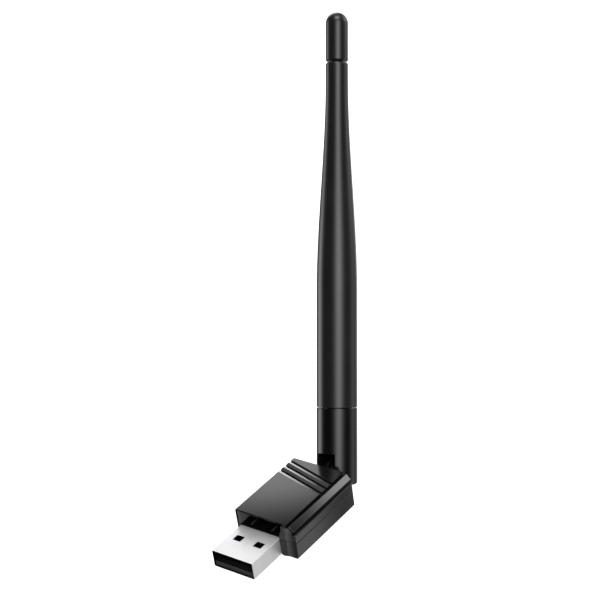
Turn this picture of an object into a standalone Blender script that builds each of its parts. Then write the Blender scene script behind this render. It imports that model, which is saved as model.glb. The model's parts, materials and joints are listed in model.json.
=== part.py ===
"""USB Wi-Fi adapter: a small offset housing on a USB-A plug, with a whip antenna
that swivels and tilts on a knuckle behind the housing.

Frame: the origin is the centre of the plug where it leaves the housing's front
face. -Y points out through the plug, +Y to the antenna, +Z up. Sizes are named
in millimetres and turned into metres where the meshes are made.
"""
import math

import bmesh
import bpy

MM = 0.001
COLLECTION = "usb_wifi_adapter"

# Gaps between touching pieces
FIT = 0.1             # between pieces that don't move on each other
RUN = 0.3             # between pieces that do

# USB-A plug
PLUG_W = 12.0
PLUG_H = 4.5
PLUG_OUT = 11.0       # length outside the housing
PLUG_IN = 8.0         # length inside the housing
SHEET = 0.3           # thickness of the plug's metal
PLUG_HOLE = (2.3, 1.95)
PLUG_HOLE_X = 3.05
PLUG_HOLE_Y = -4.4
TONGUE_TOP = -0.15
TONGUE_SETBACK = 0.25  # from the mouth to the insulator's tongue
HEEL = (-1.5, 7.0)    # front and rear of the insulator's thick rear block
CONTACT = (1.0, 0.2)  # width, thickness
CONTACT_REAR = 9.9
OUTER_CONTACT = (3.5, 1.0)   # distance from the middle, setback from the mouth
INNER_CONTACT = (1.0, 2.0)
HOLDER_T = 0.2
HOLDER_SIDES = (0.15, 0.35)  # how far the holder stops short of the shell's sides
HOLDER_RIB = (0.3, 1.0, 3.2)  # width, front, rear
RIB_MIDDLE = (-3.25, 2.85)

# Housing
LEFT = -6.85
RIGHT = 10.75
BOTTOM = -2.4
TOP = 6.75
REAR = 24.0
PARTING = 2.0
LEFT_CHAMFER = 0.6
FOOT_CHAMFER = 0.5
RIGHT_CHAMFER = (2.05, 2.4)
CHANNEL_DEPTH = 0.45
# Trim strip: width, its middle measured down the chamfer from the top, how proud it
# stands, front, rear
STRIP = (1.7, 1.48, 0.05, 0.2, 24.2)
WALL = 1.0
REAR_WALL = 1.2
REAR_CORNER = 0.35
BAY_X = 6.2           # half width of the bay that holds the plug
BAY_REAR = 8.3
PILLAR_ROUND = (1.9, 0.3)    # round of the front pillar above the plug and beside it
ROOM = (-5.95, 9.3)   # the electronics' room: left side, front
ROOM_RIGHT_UPPER = 8.0
ROOM_RIGHT_LOWER = 9.6
GROOVES = 3
GROOVE_PITCH = 2.15   # along Y
GROOVE_LAST = 18.9    # upright wall of the rearmost groove where it meets the chamfer
GROOVE_ANGLE = math.atan(0.257)
GROOVE = (17.4, 1.0, 0.4)    # length, run of the ramp, depth at the upright wall

# Circuit board and what it carries: left side, front, then width, length, height
BOARD_X = (-5.6, 9.0)
BOARD_Y = (8.4, 20.0)
BOARD_T = 0.8
CHIP = ((-1.0, 11.6), (5.0, 5.0, 0.85))
CRYSTAL = ((5.6, 11.4), (2.5, 3.2, 0.7))
INDUCTOR = ((-4.9, 11.2), (2.4, 2.4, 1.1))
CAPACITOR = ((-4.6, 14.6), (1.6, 0.9, 0.8))
RF_FILTER = ((-0.2, 17.4), (2.0, 1.25, 0.7))

# Knuckle and antenna
PIN_AT = (1.4, 30.6, 2.4)
SWIVEL_REST = math.radians(-11.2)
TILT_REST = math.radians(26.0)
SPINDLE_R = 2.3
SPINDLE_FRONT = 20.5
CLIP_R = 3.0
CLIP_Y = (21.8, 22.3)
CLIP_GROOVE_R = 1.75
CLIP_MOUTH = 60       # width of the clip's opening, in degrees
FLANGE_R = 3.4
FLANGE_REAR = 25.1
TONGUE_ROOT = 24.8    # where the spindle's tongue starts, inside the flange
EYE_R = 1.9           # half height and end radius of the swivel's tongue
SLOT_W = 5.4
SLOT_TOP = 3.4
WHIP_R = 5.16
TIP_R = 2.87
KNUCKLE_END = 4.35    # how far the knuckle reaches below the pin
SEAM = 14.8
EDGE = 0.15           # chamfer at the seam between knuckle and sheath
SPIGOT = (3.5, 19.5)  # radius and top of the spigot that carries the sheath
TAPER = (44.0, 97.0)
BORE = ((44.0, 3.8), (84.0, 1.65))   # height and radius where the bore starts and ends its taper
TIP_SEAM = 101.5
TIP_NOTCH = (0.35, 0.38)     # depth and half height of the notch at the tip's seam
TIP_PLUG = (1.5, 4.5)        # radius and length of the tip's plug
WHIP_TOP = 114.05
PIN_R = 1.0
PIN_X = (-4.3, 3.7)
EAR_SKIN = 1.05       # plastic left outside the pin's blind end
COAX_R = 0.45
FEED = 56.0           # height where the cable ends and the radiator starts
SLEEVE = (2.4, 0.3, 28.0)    # radius, wall and length of the dipole's lower sleeve
RADIATOR = (0.5, 88.0)       # radius and top of the radiating wire
SPACER_T = 2.0
SPACER_LOW = 24.5
SPACER_HIGH = 78.0
BEYOND = 1.0          # how far a cutter runs past what it cuts
ROUND = 48            # sides of the large round pieces


def clear_scene():
    """Start from an empty file."""
    for item in list(bpy.data.objects):
        bpy.data.objects.remove(item, do_unlink=True)
    for group in list(bpy.data.collections):
        bpy.data.collections.remove(group)


def new_collection(name):
    group = bpy.data.collections.new(name)
    bpy.context.scene.collection.children.link(group)
    return group


clear_scene()
PARTS = new_collection(COLLECTION)
CUTTERS = new_collection("cutters")


def material(name, colour, roughness, metallic=0.0):
    """A plain Principled material."""
    made = bpy.data.materials.new(name)
    made.use_nodes = True
    made.diffuse_color = (*colour, 1.0)
    shader = made.node_tree.nodes["Principled BSDF"]
    shader.inputs["Base Color"].default_value = (*colour, 1.0)
    shader.inputs["Roughness"].default_value = roughness
    shader.inputs["Metallic"].default_value = metallic
    return made


GLOSS_BLACK = ("gloss_black", (0.018, 0.018, 0.020), 0.18, 0.0)
SATIN_BLACK = ("satin_black", (0.030, 0.030, 0.032), 0.40, 0.0)
MATTE_BLACK = ("matte_black", (0.012, 0.012, 0.012), 0.60, 0.0)
NICKEL = ("nickel_plate", (0.78, 0.78, 0.79), 0.20, 1.0)
GOLD = ("gold_plate", (0.85, 0.62, 0.25), 0.25, 1.0)
STEEL = ("steel", (0.60, 0.60, 0.62), 0.30, 1.0)
BRASS = ("brass", (0.75, 0.58, 0.30), 0.30, 1.0)
BOARD_GREEN = ("board_green", (0.02, 0.16, 0.07), 0.45, 0.0)
CHIP_GREY = ("chip_grey", (0.035, 0.035, 0.038), 0.50, 0.0)
CERAMIC_TAN = ("ceramic_tan", (0.45, 0.33, 0.20), 0.50, 0.0)
CABLE_BLACK = ("cable_black", (0.015, 0.015, 0.016), 0.45, 0.0)
WHITE_PLASTIC = ("white_plastic", (0.80, 0.80, 0.78), 0.50, 0.0)


def place(made, name, look, parent=None, location=(0, 0, 0), rotation=(0, 0, 0)):
    """Name, place and colour an object; without a look it is a cutter."""
    made.name = name
    made.data.name = name
    made.location = [value * MM for value in location]
    made.rotation_euler = rotation
    made.parent = parent
    if look is None:
        CUTTERS.objects.link(made)
        made.hide_render = True
        made.display_type = "WIRE"
        return made
    PARTS.objects.link(made)
    label, colour, roughness, metallic = look
    made.data.materials.append(material(name + "_" + label, colour, roughness, metallic))
    return made


def from_bmesh(shape, name):
    mesh = bpy.data.meshes.new(name)
    shape.to_mesh(mesh)
    shape.free()
    return bpy.data.objects.new(name, mesh)


def box(name, look, low, high, parent=None, rotation=(0, 0, 0)):
    """A box between two corners, with its origin at its centre."""
    size = [(b - a) * MM for a, b in zip(low, high)]
    centre = [(a + b) / 2 for a, b in zip(low, high)]
    shape = bmesh.new()
    bmesh.ops.create_cube(shape, size=1.0)
    bmesh.ops.scale(shape, vec=size, verts=shape.verts)
    return place(from_bmesh(shape, name), name, look, parent, centre, rotation)


def rod(name, look, radius, start, end, axis="Z", at=(0, 0, 0), parent=None, sides=24):
    """A cylinder along one axis, from start to end along it, passing through at."""
    shape = bmesh.new()
    bmesh.ops.create_cone(shape, cap_ends=True, segments=sides, radius1=radius * MM,
                          radius2=radius * MM, depth=(end - start) * MM)
    made = from_bmesh(shape, name)
    smooth(made)
    turn = {"X": (0, math.pi / 2, 0), "Y": (-math.pi / 2, 0, 0), "Z": (0, 0, 0)}[axis]
    centre = list(at)
    centre["XYZ".index(axis)] = (start + end) / 2
    return place(made, name, look, parent, centre, turn)


def outline(name, look, points, thickness, plane="XY", centre=(0, 0, 0), parent=None, turn=0):
    """A flat outline in XY, XZ or YZ, as a plate about a centre, turned about Z at the end."""
    curve = bpy.data.curves.new(name, "CURVE")
    curve.dimensions = "2D"
    curve.fill_mode = "BOTH"
    curve.extrude = thickness * MM / 2
    spline = curve.splines.new("POLY")
    spline.points.add(len(points) - 1)
    spline.use_cyclic_u = True
    for knot, (across, along) in zip(spline.points, points):
        knot.co = (across * MM, along * MM, 0, 1)
    flat = bpy.data.objects.new(name, curve)
    bpy.context.scene.collection.objects.link(flat)
    mesh = bpy.data.meshes.new_from_object(
        flat.evaluated_get(bpy.context.evaluated_depsgraph_get()))
    bpy.data.objects.remove(flat, do_unlink=True)
    shape = bmesh.new()
    shape.from_mesh(mesh)
    bmesh.ops.remove_doubles(shape, verts=shape.verts, dist=1e-6)
    bmesh.ops.recalc_face_normals(shape, faces=shape.faces)
    bpy.data.meshes.remove(mesh)
    lean, yaw = {"XY": (0, 0), "XZ": (math.pi / 2, 0), "YZ": (math.pi / 2, math.pi / 2)}[plane]
    rotation = (lean, 0, yaw + turn)
    return place(from_bmesh(shape, name), name, look, parent, centre, rotation)


def turned(name, look, profile, axis="Z", at=(0, 0, 0), parent=None, closed=False, sides=ROUND):
    """Turn a profile of (radius, height) points, listed down the outer side."""
    shape = bmesh.new()
    verts = [shape.verts.new((radius * MM, 0, height * MM)) for radius, height in profile]
    for first, second in zip(verts, verts[1:]):
        shape.edges.new((first, second))
    if closed:
        shape.edges.new((verts[-1], verts[0]))
    made = from_bmesh(shape, name)
    screw = made.modifiers.new("turn", "SCREW")
    screw.axis = "Z"
    screw.steps = sides
    screw.render_steps = sides
    screw.use_merge_vertices = True
    screw.merge_threshold = 1e-6
    screw.use_smooth_shade = True
    turn = {"Y": (-math.pi / 2, 0, 0), "Z": (0, 0, 0)}[axis]
    return place(made, name, look, parent, at, turn)


def tube(name, look, radius, points, parent=None, resolution=2):
    """A round wire through points, with closed ends."""
    curve = bpy.data.curves.new(name, "CURVE")
    curve.dimensions = "3D"
    curve.bevel_depth = radius * MM
    curve.bevel_resolution = resolution
    curve.use_fill_caps = True
    spline = curve.splines.new("POLY")
    spline.points.add(len(points) - 1)
    for knot, point in zip(spline.points, points):
        knot.co = (*[value * MM for value in point], 1)
    return place(bpy.data.objects.new(name, curve), name, look, parent)


def smooth(made):
    """Shade a round mesh smooth, keeping its corners sharp."""
    made.data.shade_smooth()
    made.data.set_sharp_from_angle(angle=math.radians(35))


def boolean(target, tool, operation="DIFFERENCE"):
    step = target.modifiers.new(operation.lower(), "BOOLEAN")
    step.operation = operation
    step.solver = "EXACT"
    step.object = tool
    return target


def round_edges(target):
    """Break the edges of a small moulded component."""
    step = target.modifiers.new("rounds", "BEVEL")
    step.width = 0.08 * MM
    step.segments = 1
    return target


def empty(name, location, rotation, parent=None):
    made = bpy.data.objects.new(name, None)
    PARTS.objects.link(made)
    made.location = [value * MM for value in location]
    made.rotation_euler = rotation
    made.parent = parent
    return made


def arc(centre, radius, start, end, count):
    """Points along an arc, angles in degrees."""
    points = []
    for step in range(count + 1):
        angle = math.radians(start + (end - start) * step / count)
        points.append((centre[0] + radius * math.cos(angle),
                       centre[1] + radius * math.sin(angle)))
    return points


def smoothstep(value):
    """Rise gently from 0 to 1."""
    value = min(max(value, 0.0), 1.0)
    return value * value * (3 - 2 * value)


# ---------------------------------------------------------------- housing
def upper_section():
    """The upper cover seen from the front, with the channelled right chamfer."""
    run, drop = RIGHT_CHAMFER
    length = math.hypot(run, drop)
    inward = (-CHANNEL_DEPTH * drop / length, -CHANNEL_DEPTH * run / length)
    corner = (RIGHT - run, TOP)
    foot = (RIGHT, TOP - drop)
    return [(LEFT, PARTING + FIT / 2), (RIGHT, PARTING + FIT / 2), foot,
            (foot[0] + inward[0], foot[1] + inward[1]),
            (corner[0] + inward[0], corner[1] + inward[1]), corner,
            (LEFT + LEFT_CHAMFER, TOP), (LEFT, TOP - LEFT_CHAMFER)]


def lower_section():
    """The lower cover seen from the front."""
    edge = FOOT_CHAMFER
    return [(LEFT, BOTTOM + edge), (LEFT + edge, BOTTOM), (RIGHT - edge, BOTTOM),
            (RIGHT, BOTTOM + edge), (RIGHT, PARTING - FIT / 2), (LEFT, PARTING - FIT / 2)]


def rear_corner(side):
    """A cutter that takes off one upright rear corner of the housing."""
    edge = RIGHT if side > 0 else LEFT
    inner, outer = edge - side * REAR_CORNER, edge + side * BEYOND
    points = [(inner, REAR), (outer, REAR - REAR_CORNER - BEYOND), (outer, REAR + BEYOND),
              (inner, REAR + BEYOND)]
    height = TOP - BOTTOM + 2 * BEYOND
    return outline("rear_corner_cut", None, points, height, "XY", (0, 0, (TOP + BOTTOM) / 2))


def plug_bay(top, bottom, round_radius):
    """The bay around the plug, flared at its front by the round of the pillar beside it."""
    right = arc((BAY_X + round_radius, round_radius), round_radius, 270, 180, 8)
    points = [(-BAY_X, -BEYOND), (BAY_X + round_radius, -BEYOND), *right, (BAY_X, BAY_REAR),
              (-BAY_X, BAY_REAR)]
    return outline("plug_bay_cut", None, points, top - bottom, "XY", (0, 0, (top + bottom) / 2))


def groove(number):
    """The cutter of one slanting ramp with an upright rear wall, counted from the rear."""
    length, run, depth = GROOVE
    section = [(-run, 0), (0, -depth), (0, BEYOND), (-run, BEYOND)]
    middle = RIGHT - RIGHT_CHAMFER[0] - length / 2 * math.cos(GROOVE_ANGLE)
    along = GROOVE_LAST - GROOVE_PITCH * number + length / 2 * math.sin(GROOVE_ANGLE)
    return outline("groove_cut", None, section, length, "YZ", (middle, along, TOP),
                   turn=-GROOVE_ANGLE)


def housing():
    """The two covers with their bay, room, spindle hole and grooves."""
    upper = outline("top_cover", GLOSS_BLACK, upper_section(), REAR, "XZ", (0, REAR / 2, 0))
    lower = outline("bottom_cover", SATIN_BLACK, lower_section(), REAR, "XZ", (0, REAR / 2, 0))
    shared = [rear_corner(1), rear_corner(-1)]
    shared.append(rod("spindle_hole_cut", None, SPINDLE_R + RUN, REAR - REAR_WALL - BEYOND,
                      REAR + BEYOND, "Y", (PIN_AT[0], 0, PIN_AT[2])))
    for cutter in shared:
        boolean(upper, cutter)
        boolean(lower, cutter)
    roof = TOP - WALL
    below, above = PARTING - BEYOND, PARTING + BEYOND
    room_rear = REAR - REAR_WALL
    boolean(upper, plug_bay(roof, below, PILLAR_ROUND[0]))
    boolean(upper, box("upper_room_cut", None, (ROOM[0], ROOM[1], below),
                       (ROOM_RIGHT_UPPER, room_rear, roof)))
    boolean(lower, plug_bay(above, BOTTOM - BEYOND, PILLAR_ROUND[1]))
    boolean(lower, box("lower_room_cut", None, (ROOM[0], BAY_REAR - BEYOND, BOTTOM + WALL),
                       (ROOM_RIGHT_LOWER, room_rear, above)))
    for number in range(GROOVES):
        boolean(upper, groove(number))


def trim_strip():
    """The flat strip that lies along the chamfer between its two channels."""
    run, drop = RIGHT_CHAMFER
    length = math.hypot(run, drop)
    width, middle, proud, front, rear = STRIP
    thickness = CHANNEL_DEPTH - FIT + proud
    strip = box("side_trim_strip", SATIN_BLACK, (-width / 2, front, -thickness / 2),
                (width / 2, rear, thickness / 2), rotation=(0, math.atan2(drop, run), 0))
    sink = CHANNEL_DEPTH - FIT - thickness / 2
    share = middle / length
    strip.location.x = (RIGHT - run + run * share - sink * drop / length) * MM
    strip.location.z = (TOP - drop * share - sink * run / length) * MM


# ------------------------------------------------------------------- plug
def usb_shell():
    """The plug's folded metal shell with its latch holes."""
    half_w, half_h = PLUG_W / 2, PLUG_H / 2
    shell = box("usb_shell", NICKEL, (-half_w, -PLUG_OUT, -half_h), (half_w, PLUG_IN, half_h))
    boolean(shell, box("shell_inside_cut", None,
                       (SHEET - half_w, -PLUG_OUT - BEYOND, SHEET - half_h),
                       (half_w - SHEET, PLUG_IN + BEYOND, half_h - SHEET)))
    wide, long = PLUG_HOLE
    for side in (-1, 1):
        across, deep = side * PLUG_HOLE_X, half_h + BEYOND
        boolean(shell, box("plug_hole_cut", None,
                           (across - wide / 2, PLUG_HOLE_Y - long / 2, -deep),
                           (across + wide / 2, PLUG_HOLE_Y + long / 2, deep)))


def insulator_and_contacts():
    """The tongue with its thick heel, and the four contacts that lie on it."""
    floor = SHEET - PLUG_H / 2 + FIT
    wall = PLUG_W / 2 - SHEET - FIT
    tongue = box("usb_tongue", MATTE_BLACK, (-wall, TONGUE_SETBACK - PLUG_OUT, floor),
                 (wall, PLUG_IN - RUN, TONGUE_TOP))
    boolean(tongue, box("tongue_heel", None, (-wall, HEEL[0], TONGUE_TOP - BEYOND),
                        (wall, HEEL[1], -floor)), "UNION")
    width, thickness = CONTACT
    low = TONGUE_TOP + FIT
    places = [(-OUTER_CONTACT[0], OUTER_CONTACT[1]), (-INNER_CONTACT[0], INNER_CONTACT[1]),
              INNER_CONTACT, OUTER_CONTACT]
    for number, (across, setback) in enumerate(places, 1):
        left, right = across - width / 2, across + width / 2
        boolean(tongue, box("contact_slot_cut", None, (left - FIT, HEEL[0] - BEYOND, TONGUE_TOP),
                            (right + FIT, HEEL[1] + BEYOND, low + thickness + FIT)))
        box("usb_contact_%d" % number, GOLD, (left, setback - PLUG_OUT, low),
            (right, CONTACT_REAR, low + thickness))


def plug_holder():
    """The plate that clamps the shell's top, with two short ribs in the bay."""
    low = PLUG_H / 2 + FIT
    top = low + HOLDER_T
    left_gap, right_gap = HOLDER_SIDES
    holder = box("plug_holder", MATTE_BLACK, (left_gap - PLUG_W / 2, FIT, low),
                 (PLUG_W / 2 - right_gap, PLUG_IN, top))
    width, front, rear = HOLDER_RIB
    for across in RIB_MIDDLE:
        boolean(holder, box("holder_rib", None, (across - width / 2, front, low + HOLDER_T / 2),
                            (across + width / 2, rear, top + width)), "UNION")


# ------------------------------------------------------------ electronics
def electronics():
    """The board behind the plug with what is soldered on it."""
    top = TONGUE_TOP
    box("circuit_board", BOARD_GREEN, (BOARD_X[0], BOARD_Y[0], top - BOARD_T),
        (BOARD_X[1], BOARD_Y[1], top))
    seat = top + FIT
    for name, look, (corner, size) in (("wifi_chip", CHIP_GREY, CHIP),
                                       ("clock_crystal", STEEL, CRYSTAL),
                                       ("power_inductor", CHIP_GREY, INDUCTOR),
                                       ("bulk_capacitor", CERAMIC_TAN, CAPACITOR),
                                       ("rf_filter", CERAMIC_TAN, RF_FILTER)):
        part = box(name, look, (*corner, seat),
                   (corner[0] + size[0], corner[1] + size[1], seat + size[2]))
        round_edges(part)
    # The lead leaves the board in a small loop and ends in front of the spindle.
    mouth = (PIN_AT[0], SPINDLE_FRONT - 1.1, PIN_AT[2])
    tube("coax_lead", CABLE_BLACK, COAX_R,
         [(4.0, 17.9, seat + COAX_R), (4.7, 17.6, 0.75), (4.9, 17.1, 1.4), (4.4, 16.8, 2.0),
          (3.4, 17.0, 2.3), (2.4, 17.7, 2.4), (1.7, 18.5, 2.4), mouth])


# ----------------------------------------------------------------- swivel
def swivel_body(frame):
    """The spindle that turns in the rear wall, with its tongue, clip and cable."""
    pin_y = PIN_AT[1]
    clip_front, clip_rear = CLIP_Y
    profile = [(0, FLANGE_REAR), (FLANGE_R, FLANGE_REAR), (FLANGE_R, REAR + RUN),
               (SPINDLE_R, REAR + RUN), (SPINDLE_R, clip_rear + FIT),
               (CLIP_GROOVE_R, clip_rear + FIT), (CLIP_GROOVE_R, clip_front - FIT),
               (SPINDLE_R, clip_front - FIT), (SPINDLE_R, SPINDLE_FRONT), (0, SPINDLE_FRONT)]
    spindle = turned("swivel_spindle", SATIN_BLACK, profile, "Y", parent=frame, sides=40)
    eye = [(TONGUE_ROOT, -EYE_R), *arc((pin_y, 0), EYE_R, -90, 90, 12), (TONGUE_ROOT, EYE_R)]
    boolean(spindle, outline("spindle_tongue", None, eye, SLOT_W - 2 * RUN, "YZ", parent=frame),
            "UNION")
    boolean(spindle, rod("pin_bore_cut", None, PIN_R + RUN - FIT, -SLOT_W, SLOT_W, "X",
                         (0, pin_y, 0), frame))
    bore = COAX_R + 2 * FIT
    window_front, window_rear = FLANGE_REAR + 0.4, pin_y - 2.3
    boolean(spindle, rod("coax_bore_cut", None, bore, SPINDLE_FRONT - BEYOND, window_rear - BEYOND,
                         "Y", parent=frame))
    boolean(spindle, box("coax_window_cut", None, (-bore, window_front, 0),
                         (bore, window_rear, EYE_R + BEYOND), frame))

    half_mouth = CLIP_MOUTH / 2
    ring = [*arc((0, 0), CLIP_R, half_mouth, 360 - half_mouth, 20),
            *arc((0, 0), CLIP_GROOVE_R + FIT, 360 - half_mouth, half_mouth, 20)]
    outline("retaining_clip", STEEL, ring, clip_rear - clip_front, "XZ",
            (0, (clip_front + clip_rear) / 2, 0), frame)

    # The cable runs up the bore, out of the window and over the tongue.
    over = EYE_R + FIT + COAX_R
    tube("coax_through_spindle", CABLE_BLACK, COAX_R,
         [(0, SPINDLE_FRONT - 0.8, 0), (0, 22, 0), (0, 24.4, 0), (0, 25.6, 0.05), (0, 26.3, 0.4),
          (0, 26.8, 1.1), (0, 27.3, 1.9), (0, 28.0, over - 0.05), (0, 29.2, over)], frame)


# ---------------------------------------------------------------- antenna
def knuckle(frame):
    """The forked sleeve at the foot of the antenna and its hinge pin."""
    spigot_r, spigot_top = SPIGOT
    foot = -WHIP_R - BEYOND
    profile = [(0, spigot_top), (spigot_r, spigot_top), (spigot_r, SEAM), (WHIP_R - EDGE, SEAM),
               (WHIP_R, SEAM - EDGE), (WHIP_R, foot), (0, foot)]
    body = turned("knuckle", GLOSS_BLACK, profile, parent=frame)
    end = [(across, along * KNUCKLE_END / WHIP_R)
           for across, along in arc((0, 0), WHIP_R, 180, 360, 24)]
    side, above = WHIP_R + BEYOND, spigot_top + BEYOND
    around = [*end, (side, 0), (side, above), (-side, above), (-side, 0)]
    boolean(body, outline("knuckle_end", None, around, 2 * side, "YZ", parent=frame), "INTERSECT")
    half = SLOT_W / 2
    boolean(body, box("fork_slot_cut", None, (-half, -side, -side), (half, SLOT_TOP, SLOT_TOP),
                      frame))
    boolean(body, rod("ear_bore_cut", None, PIN_R + FIT, -side, WHIP_R - EAR_SKIN, "X",
                      parent=frame))
    boolean(body, rod("cable_bore_cut", None, COAX_R + RUN, 0, above, "Z", parent=frame,
                      sides=20))
    rod("hinge_pin", STEEL, PIN_R, *PIN_X, "X", parent=frame)


def whip_radius(height):
    """The outer radius of the tapered whip at a height above the pin."""
    low, high = TAPER
    return WHIP_R + (TIP_R - WHIP_R) * smoothstep((height - low) / (high - low))


def bore_radius(height):
    """The radius of the sheath's bore at a height above the pin."""
    (low, wide), (high, narrow) = BORE
    share = min(max((height - low) / (high - low), 0.0), 1.0)
    return wide + (narrow - wide) * share


def sheath(frame):
    """The hollow tapered sheath, from the knuckle's seam to the notch under the tip."""
    low, high = TAPER
    rings = 12
    notch, lip = TIP_NOTCH
    top = TIP_SEAM - FIT
    foot = SEAM + EDGE
    outer = [(TIP_R - notch, top), (TIP_R, top - lip)]
    for ring in range(rings + 1):
        height = high + (low - high) * ring / rings
        outer.append((whip_radius(height), height))
    outer += [(WHIP_R, foot + EDGE), (WHIP_R - EDGE, foot)]
    (bore_low, wide), (bore_high, narrow) = BORE
    inner = [(wide, foot), (wide, bore_low), (narrow, bore_high), (narrow, top)]
    turned("antenna_sheath", SATIN_BLACK, outer + inner, parent=frame, closed=True)


def tip(frame):
    """The round tip that plugs into the sheath."""
    notch, lip = TIP_NOTCH
    plug_r, plug_length = TIP_PLUG
    foot = TIP_SEAM + FIT
    dome = arc((0, WHIP_TOP - TIP_R), TIP_R, 90, 0, 8)
    profile = [(max(radius, 0), height) for radius, height in dome]
    profile += [(TIP_R, foot + lip), (TIP_R - notch, foot), (plug_r, foot),
                (plug_r, foot - plug_length), (0, foot - plug_length)]
    turned("tip_cap", SATIN_BLACK, profile, parent=frame)


def dipole(frame):
    """The cable in the sheath, the brass sleeve and wire it feeds, and two spacers."""
    snug = COAX_R + FIT
    rod("coax_in_whip", CABLE_BLACK, COAX_R, SLOT_TOP + 2 * FIT, FEED, "Z", parent=frame, sides=12)
    outside, wall, length = SLEEVE
    inside, top = outside - wall, FEED - RUN
    profile = [(outside, top), (outside, top - length), (inside, top - length),
               (inside, top - wall), (snug, top - wall), (snug, top)]
    turned("dipole_sleeve", BRASS, profile, parent=frame, closed=True, sides=24)
    wire_r, wire_top = RADIATOR
    rod("radiator_wire", BRASS, wire_r, FEED + RUN, wire_top, "Z", parent=frame, sides=12)
    for name, height, hole in (("lower_spacer", SPACER_LOW, snug),
                               ("upper_spacer", SPACER_HIGH, wire_r + FIT)):
        top = height + SPACER_T
        outside = bore_radius(top) - FIT
        ring = [(outside, top), (outside, height), (hole, height), (hole, top)]
        turned(name, WHITE_PLASTIC, ring, parent=frame, closed=True, sides=24)


def main():
    housing()
    trim_strip()
    usb_shell()
    insulator_and_contacts()
    plug_holder()
    electronics()
    swivel = empty("swivel_axis", (PIN_AT[0], 0, PIN_AT[2]), (0, SWIVEL_REST, 0))
    swivel_body(swivel)
    tilt = empty("tilt_axis", (0, PIN_AT[1], 0), (-TILT_REST, 0, 0), swivel)
    knuckle(tilt)
    sheath(tilt)
    tip(tilt)
    dipole(tilt)


main()
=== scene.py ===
"""Looks for the USB Wi-Fi adapter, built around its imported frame.

Shapes are worked out in millimetres and turned into metres as each mesh is made.
The housing's pieces use the row frame; the swivel's and the antenna's pieces use
their own frames, with Z along the whip and X along the hinge pin.
"""

import json
import math

import bmesh
import bpy
from mathutils import Matrix, Vector


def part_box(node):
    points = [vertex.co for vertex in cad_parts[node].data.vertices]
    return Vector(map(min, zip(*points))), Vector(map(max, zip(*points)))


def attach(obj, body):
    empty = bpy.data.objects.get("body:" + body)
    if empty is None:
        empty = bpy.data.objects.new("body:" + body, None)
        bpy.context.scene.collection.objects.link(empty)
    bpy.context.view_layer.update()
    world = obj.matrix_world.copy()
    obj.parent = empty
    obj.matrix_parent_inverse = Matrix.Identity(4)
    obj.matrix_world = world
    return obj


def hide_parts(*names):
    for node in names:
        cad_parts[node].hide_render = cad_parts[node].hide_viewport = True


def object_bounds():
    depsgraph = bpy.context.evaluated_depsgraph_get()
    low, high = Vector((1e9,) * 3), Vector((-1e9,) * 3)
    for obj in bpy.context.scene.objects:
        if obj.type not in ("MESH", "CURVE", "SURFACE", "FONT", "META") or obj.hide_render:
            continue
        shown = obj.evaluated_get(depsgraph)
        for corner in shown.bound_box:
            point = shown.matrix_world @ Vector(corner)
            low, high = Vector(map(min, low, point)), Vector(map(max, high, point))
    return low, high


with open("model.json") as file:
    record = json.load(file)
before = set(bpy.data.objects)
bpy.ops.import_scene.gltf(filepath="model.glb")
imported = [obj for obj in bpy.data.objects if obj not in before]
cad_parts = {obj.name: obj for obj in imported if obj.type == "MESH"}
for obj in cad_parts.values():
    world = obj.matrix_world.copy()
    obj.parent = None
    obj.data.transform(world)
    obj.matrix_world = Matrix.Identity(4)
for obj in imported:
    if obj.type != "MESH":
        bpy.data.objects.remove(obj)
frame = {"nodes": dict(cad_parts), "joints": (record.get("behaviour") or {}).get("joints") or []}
CAD_BOX = [list(corner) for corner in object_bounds()]
MM = 0.001


def box_mm(node):
    """A CAD node's lowest and highest corners, in millimetres."""
    low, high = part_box(node)
    return low / MM, high / MM


# ------------------------------------------------------------ dimensions
cover_low, cover_high = box_mm("top_cover")
base_low, base_high = box_mm("bottom_cover")
shell_low, shell_high = box_mm("usb_shell")
holder_low, holder_high = box_mm("plug_holder")
tongue_low, tongue_high = box_mm("usb_tongue")
LEFT, RIGHT = cover_low.x, cover_high.x
BOTTOM, TOP = base_low.z, cover_high.z
REAR = cover_high.y
SEAM_LOW, SEAM_HIGH = base_high.z, cover_low.z

LEFT_ROUND = 0.4
FOOT_ROUND = 0.5
RIGHT_CHAMFER = (2.05, 2.4)
CHANNEL_DEPTH = 0.45
STRIP = (1.7, 1.48, 0.05, 0.2, 24.2)   # width, middle below the top edge, proud, front, rear
WALL = 1.0
REAR_WALL = 1.2
REAR_ROUND = 0.4
BAY_X = 6.2
BAY_REAR = 8.3
BAY_ROOF = TOP - WALL
LIP = 0.42
PILLAR_ROUND = 1.9
PILLAR_NOSE = (6.08, -0.6)           # its left side and its front
PILLAR_CREASE = 8.2                  # where the nose meets the pillar's flat front
PILLAR_CORNER = 1.0
LOWER_PILLAR_ROUND = 0.3
NOSE_TOP = 2.6                       # where the nose starts to slope back
NOSE_HIGH = 4.4                      # where that slope ends
NOSE_BACK = 0.6
EDGE_ROUND = 0.09
ROOM = (-5.95, 9.3)                  # left side and front of the hollow for the board
ROOM_RIGHT = (8.0, 9.6)              # its right side in the top and in the bottom cover
GROOVES = 3
GROOVE_PITCH = 2.15
GROOVE_LAST = 18.9
GROOVE_ANGLE = math.atan(0.257)
GROOVE_LENGTH = 17.4
GROOVE_SLOPE = (-1.2, -0.35, -0.3)   # front, rear and drop of the slope into a groove
GROOVE_FLOOR = -0.6
GROOVE_ZONE = (11.5, 21.5)           # the front and rear of the part that has the grooves
RIB_DROP = -0.12                     # how low a rib's front edge lies below the top
NOTCH_DEPTH = 1.0
BAY_LIGHT_PAINTED_FACE, DARK_FACE, PILLAR_HIGHLIGHT_FACE, SLOPE_HIGHLIGHT_FACE, RIB_FACE = range(1, 6)

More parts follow.
